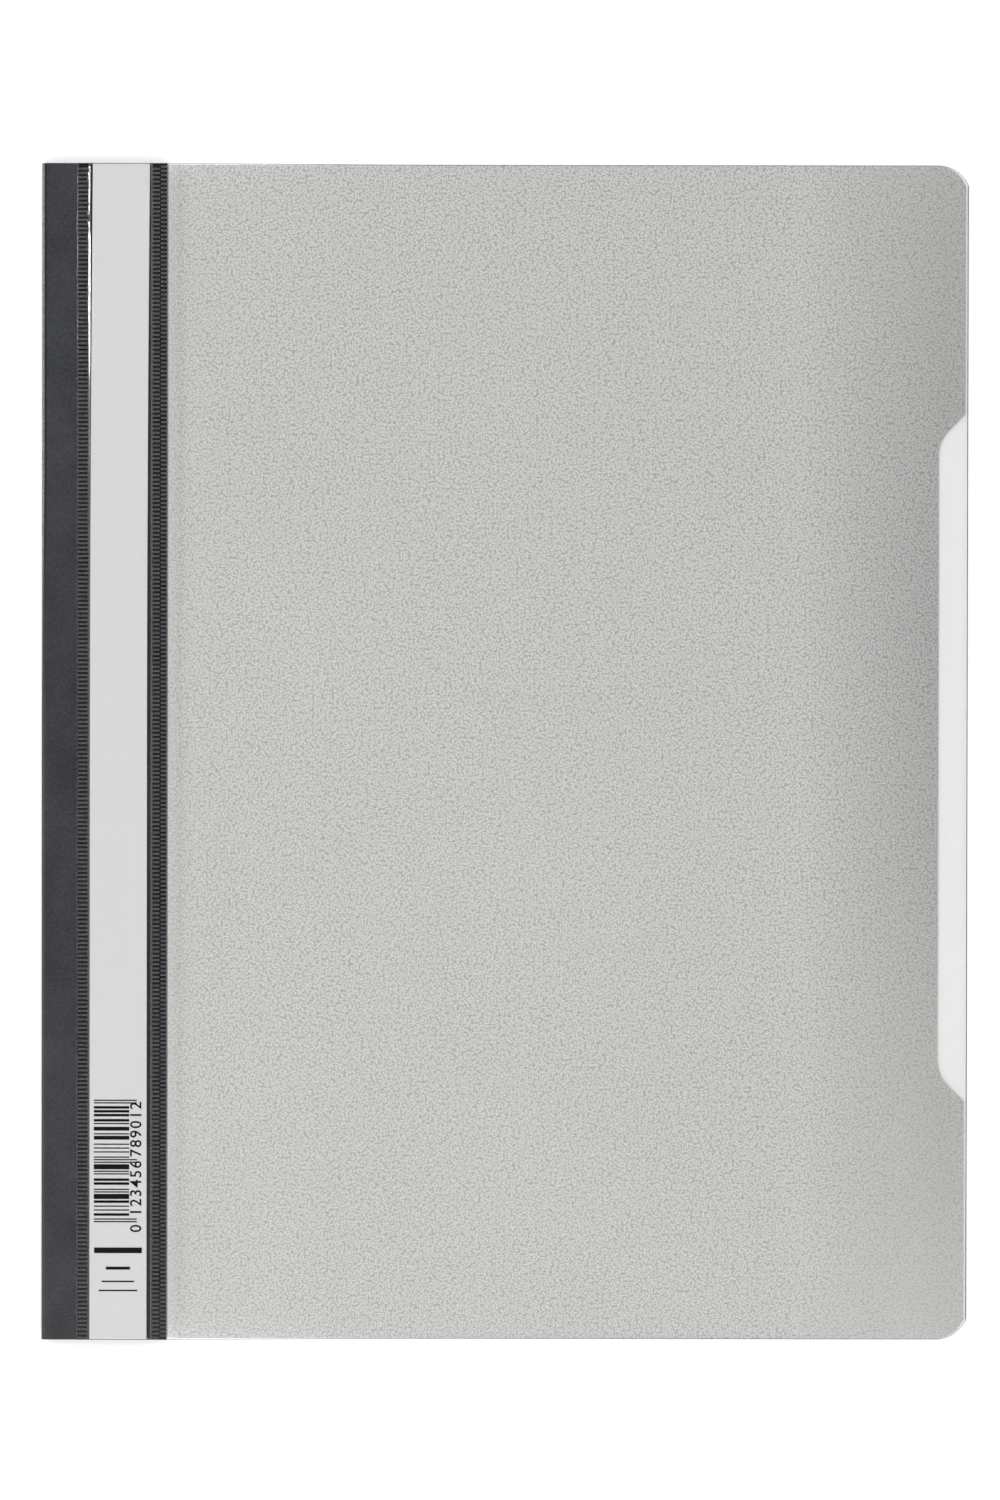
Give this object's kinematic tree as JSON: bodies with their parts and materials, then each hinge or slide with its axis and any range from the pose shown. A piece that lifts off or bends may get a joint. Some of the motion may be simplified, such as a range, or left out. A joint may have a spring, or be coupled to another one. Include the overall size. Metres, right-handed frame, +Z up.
{
  "type": "clear view folder",
  "caption": "Flat report folder: opaque back cover with a thumb notch, clear front cover, dark folded spine strip with a label pocket and a prong fastener inside.",
  "frame": {"origin": "under the middle of the closed folder, on the surface that it lies on", "axes": "+X from the spine fold to the fore edge, +Y up the sheet, +Z up through the closed folder"},
  "size_m": [0.2442, 0.31, 0.0042],
  "materials": {
    "grey_grained_film": "light grey opaque film, embossed with a fine leather grain",
    "dark_spine_film": "dark grey satin film",
    "clear_film": "clear glossy film",
    "label_paper": "smooth white paper",
    "plated_steel": "zinc-plated sheet steel"
  },
  "bodies": {
    "back": {"back_cover": "grey_grained_film", "spine_strip_back": "dark_spine_film", "fastener_base": "plated_steel", "cover_bar": "plated_steel"},
    "front": {"spine_strip_front": "dark_spine_film", "front_cover": "clear_film", "label_insert": "label_paper"},
    "upper_slider": {"slider_upper": "plated_steel"},
    "lower_slider": {"slider_lower": "plated_steel"}
  },
  "joints": [
    {"name": "cover_hinge", "type": "hinge", "parent": "back", "child": "front", "pos_m": [-0.12215, 0, 0.0021], "axis": [0, -1, 0], "range_deg": [0, 180]},
    {"name": "upper_slider_slide", "type": "slide", "parent": "back", "child": "upper_slider", "axis": [0, 1, 0], "range_m": [-0.01, 0.0105]},
    {"name": "lower_slider_slide", "type": "slide", "parent": "back", "child": "lower_slider", "axis": [0, -1, 0], "range_m": [-0.01, 0.0105]}
  ]
}
